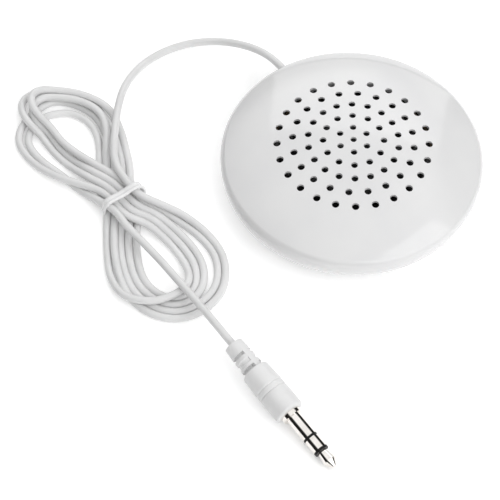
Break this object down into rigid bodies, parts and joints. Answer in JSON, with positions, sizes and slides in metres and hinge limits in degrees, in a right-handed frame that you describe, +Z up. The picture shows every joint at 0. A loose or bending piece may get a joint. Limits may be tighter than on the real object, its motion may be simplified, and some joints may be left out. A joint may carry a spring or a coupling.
{
  "type": "pillow speaker",
  "caption": "Slim domed disc speaker with a ring-pattern grille, a thin cord tied in a figure-of-eight hank and a small stereo jack plug.",
  "frame": {"origin": "middle of the housing's flat base, on the surface that it rests on", "axes": "+Z up through the middle of the grille, +Y from the middle of the housing to where the cord leaves its seam"},
  "size_m": [0.0949, 0.123, 0.016],
  "materials": {
    "shell_plastic": "glossy white moulding",
    "zinc_steel": "zinc plated",
    "dark_felt": "felt",
    "magnet_metal": "nickel plated",
    "former_paper": "brown paper",
    "copper": "enamelled copper winding",
    "clear_film": "thin moulded film",
    "black_foam": "closed-cell foam",
    "board_brown": "laminate board",
    "solder": "bright solder",
    "cord_jacket": "satin white soft jacket",
    "tie_plastic": "white coated twist tie",
    "plug_plastic": "satin white soft moulding",
    "wire_red": "thin wire jacket",
    "wire_black": "thin wire jacket",
    "plated_contact": "nickel plated, polished",
    "black_insulator": "black moulded ring"
  },
  "bodies": {
    "root": {"top_shell": "shell_plastic", "bottom_shell": "shell_plastic", "shell_screws": "zinc_steel", "rear_damping_pad": "dark_felt", "driver_frame": "zinc_steel", "yoke_cup": "zinc_steel", "magnet": "magnet_metal", "pole_plate": "zinc_steel", "coil_former": "former_paper", "voice_coil": "copper", "diaphragm": "clear_film", "front_ring": "former_paper", "foam_gasket": "black_foam", "vent_cloth": "dark_felt", "terminal_board": "board_brown", "solder_joints": "solder", "cord_clamp": "shell_plastic", "clamp_screws": "zinc_steel", "cord_lead": "cord_jacket", "cord_hank": "cord_jacket", "cord_tie": "tie_plastic", "cord_tail": "cord_jacket", "plug_boot": "plug_plastic", "lead_wire_signal": "wire_red", "lead_wire_return": "wire_black", "tip_contact": "plated_contact", "tip_insulator": "black_insulator", "ring_contact": "plated_contact", "sleeve_insulator": "black_insulator", "sleeve_contact": "plated_contact"}
  },
  "joints": []
}
